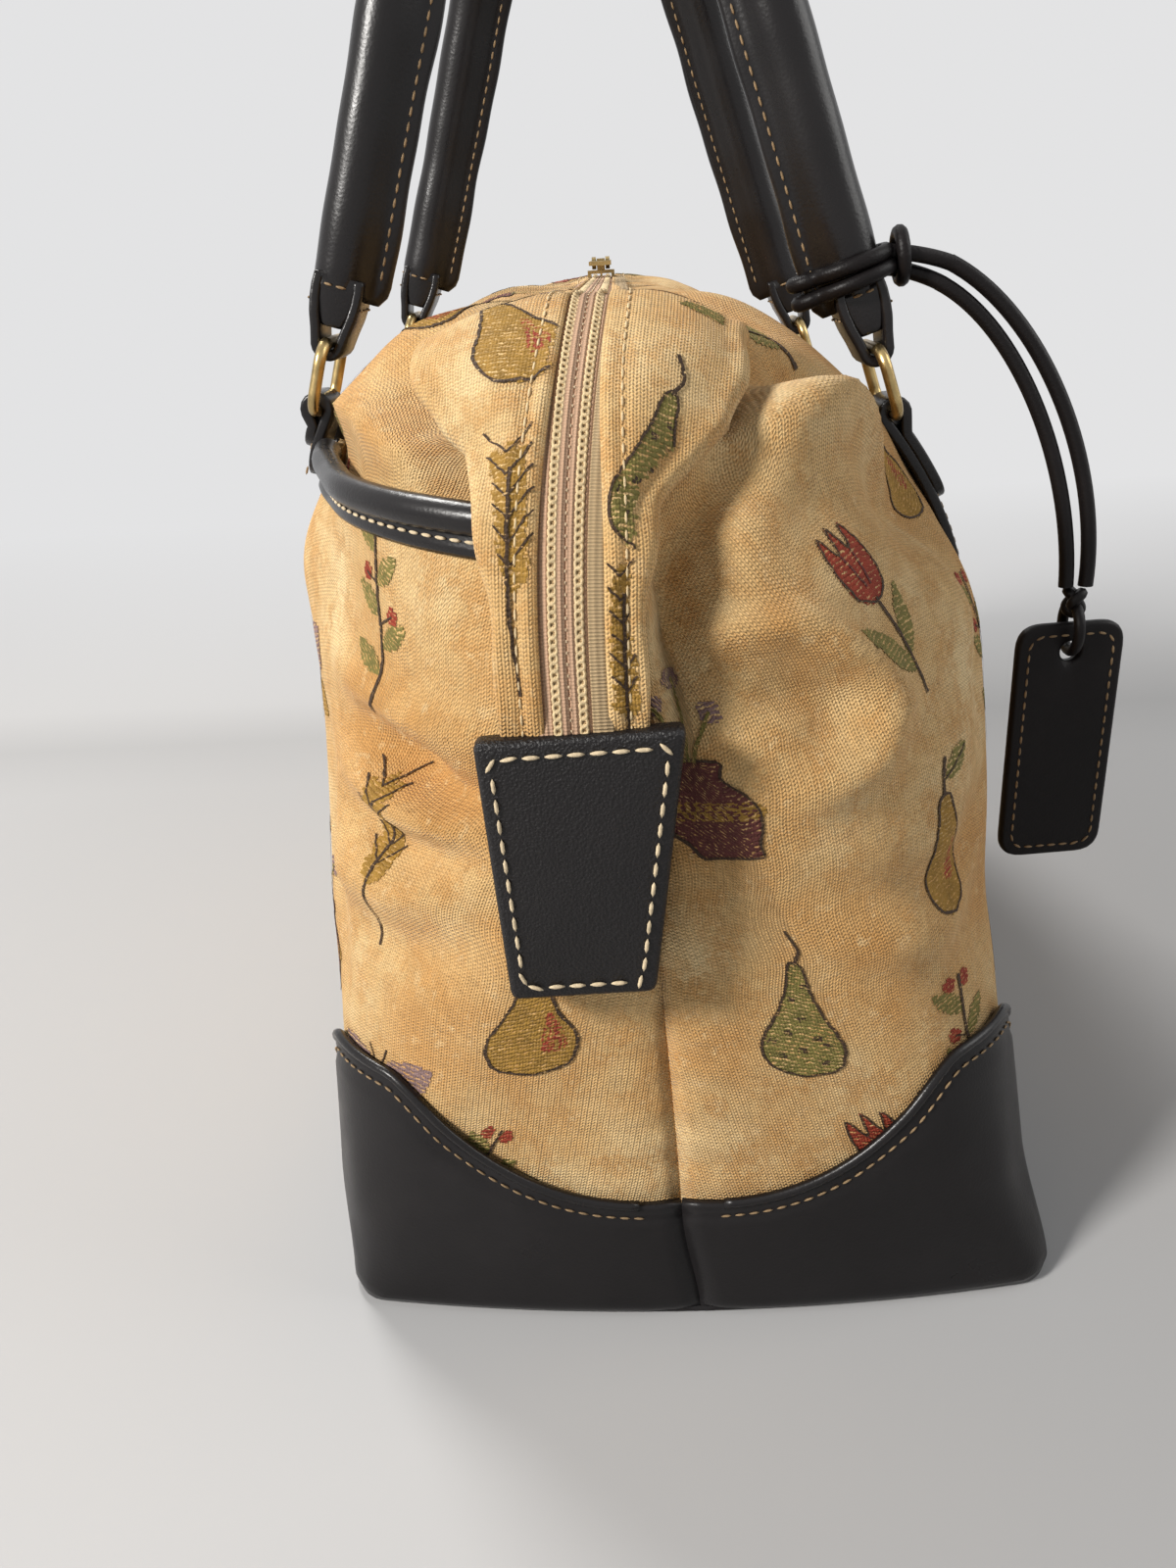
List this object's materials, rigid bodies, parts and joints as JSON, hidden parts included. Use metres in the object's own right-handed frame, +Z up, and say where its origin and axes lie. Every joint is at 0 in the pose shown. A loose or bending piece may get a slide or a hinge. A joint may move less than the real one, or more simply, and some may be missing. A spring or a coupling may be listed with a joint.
{
  "type": "canvas shoulder bag",
  "caption": "Soft canvas shoulder bag with a scalloped leather base, zip top, outer pocket, rolled handles on metal rings and a hanging leather tag.",
  "frame": {"origin": "centre of the base on the floor", "axes": "+X along the bag to the end seen in the picture, -Y to the pocket side, +Z up"},
  "size_m": [0.3702, 0.2242, 0.4094],
  "materials": {
    "canvas": "woven, mottled ochre",
    "base_leather": "smooth satin",
    "trim_leather": "fine grain satin",
    "brass": "polished",
    "zip_tape": "ribbed tape",
    "zip_coil": "matte",
    "board": "matte"
  },
  "bodies": {
    "bag": {"leather_bottom": "base_leather", "base_board": "board", "leather_front": "base_leather", "leather_back": "base_leather", "front_panel": "canvas", "back_panel": "canvas", "front_pocket": "canvas", "pocket_piping": "trim_leather", "zip_tape_front": "zip_tape", "zip_tape_back": "zip_tape", "zip_coil_front": "zip_coil", "zip_coil_back": "zip_coil", "tail_near": "canvas", "tail_far": "canvas", "end_tab_near": "trim_leather", "end_tab_far": "trim_leather", "front_tab_near": "trim_leather", "front_tab_far": "trim_leather", "back_tab_near": "trim_leather", "back_tab_far": "trim_leather"},
    "slider": {"zip_slider": "brass"},
    "puller": {"zip_puller": "brass"},
    "front_rings": {"front_ring_near": "brass", "front_ring_far": "brass"},
    "back_rings": {"back_ring_near": "brass", "back_ring_far": "brass"},
    "front_handle": {"front_grip": "trim_leather", "front_loop_near": "trim_leather", "front_loop_far": "trim_leather"},
    "back_handle": {"back_grip": "trim_leather", "back_loop_near": "trim_leather", "back_loop_far": "trim_leather", "lace_hitch": "trim_leather"},
    "lace": {"lace_outer": "trim_leather", "lace_inner": "trim_leather", "lace_knot": "trim_leather"},
    "tag": {"hang_tag": "trim_leather"}
  },
  "joints": [
    {"name": "front_ring_swing", "type": "hinge", "parent": "bag", "child": "front_rings", "pos_m": [0, -0.08895, 0.21244], "axis": [1, 0, 0], "range_deg": [0, 92]},
    {"name": "front_handle_turn", "type": "hinge", "parent": "front_rings", "child": "front_handle", "pos_m": [0, -0.08367, 0.2286], "axis": [1, 0, 0], "range_deg": [0, 25]},
    {"name": "back_ring_swing", "type": "hinge", "parent": "bag", "child": "back_rings", "pos_m": [0, 0.06093, 0.20294], "axis": [-1, 0, 0], "range_deg": [0, 92]},
    {"name": "back_handle_turn", "type": "hinge", "parent": "back_rings", "child": "back_handle", "pos_m": [0, 0.05565, 0.2191], "axis": [-1, 0, 0], "range_deg": [0, 25]},
    {"name": "lace_hang", "type": "hinge", "parent": "back_handle", "child": "lace", "pos_m": [0.07, 0.0689, 0.23815], "axis": [-1, 0, 0], "range_deg": [-118, 0]},
    {"name": "tag_swing", "type": "hinge", "parent": "lace", "child": "tag", "pos_m": [0.08, 0.1109, 0.13765], "axis": [1, 0, 0], "range_deg": [-5, 28]},
    {"name": "zip_slide", "type": "slide", "parent": "bag", "child": "slider", "axis": [1, 0, 0], "range_m": [0, 0.2]},
    {"name": "puller_turn", "type": "hinge", "parent": "slider", "child": "puller", "pos_m": [-0.1, -0.015, 0.2425], "axis": [0, -1, 0], "range_deg": [0, 170]}
  ],
  "couplings": [
    {"joint": "front_handle_turn", "follows": "front_ring_swing", "ratio": 0.25},
    {"joint": "back_handle_turn", "follows": "back_ring_swing", "ratio": 0.25},
    {"joint": "lace_hang", "follows": "back_ring_swing", "ratio": -1.25}
  ]
}
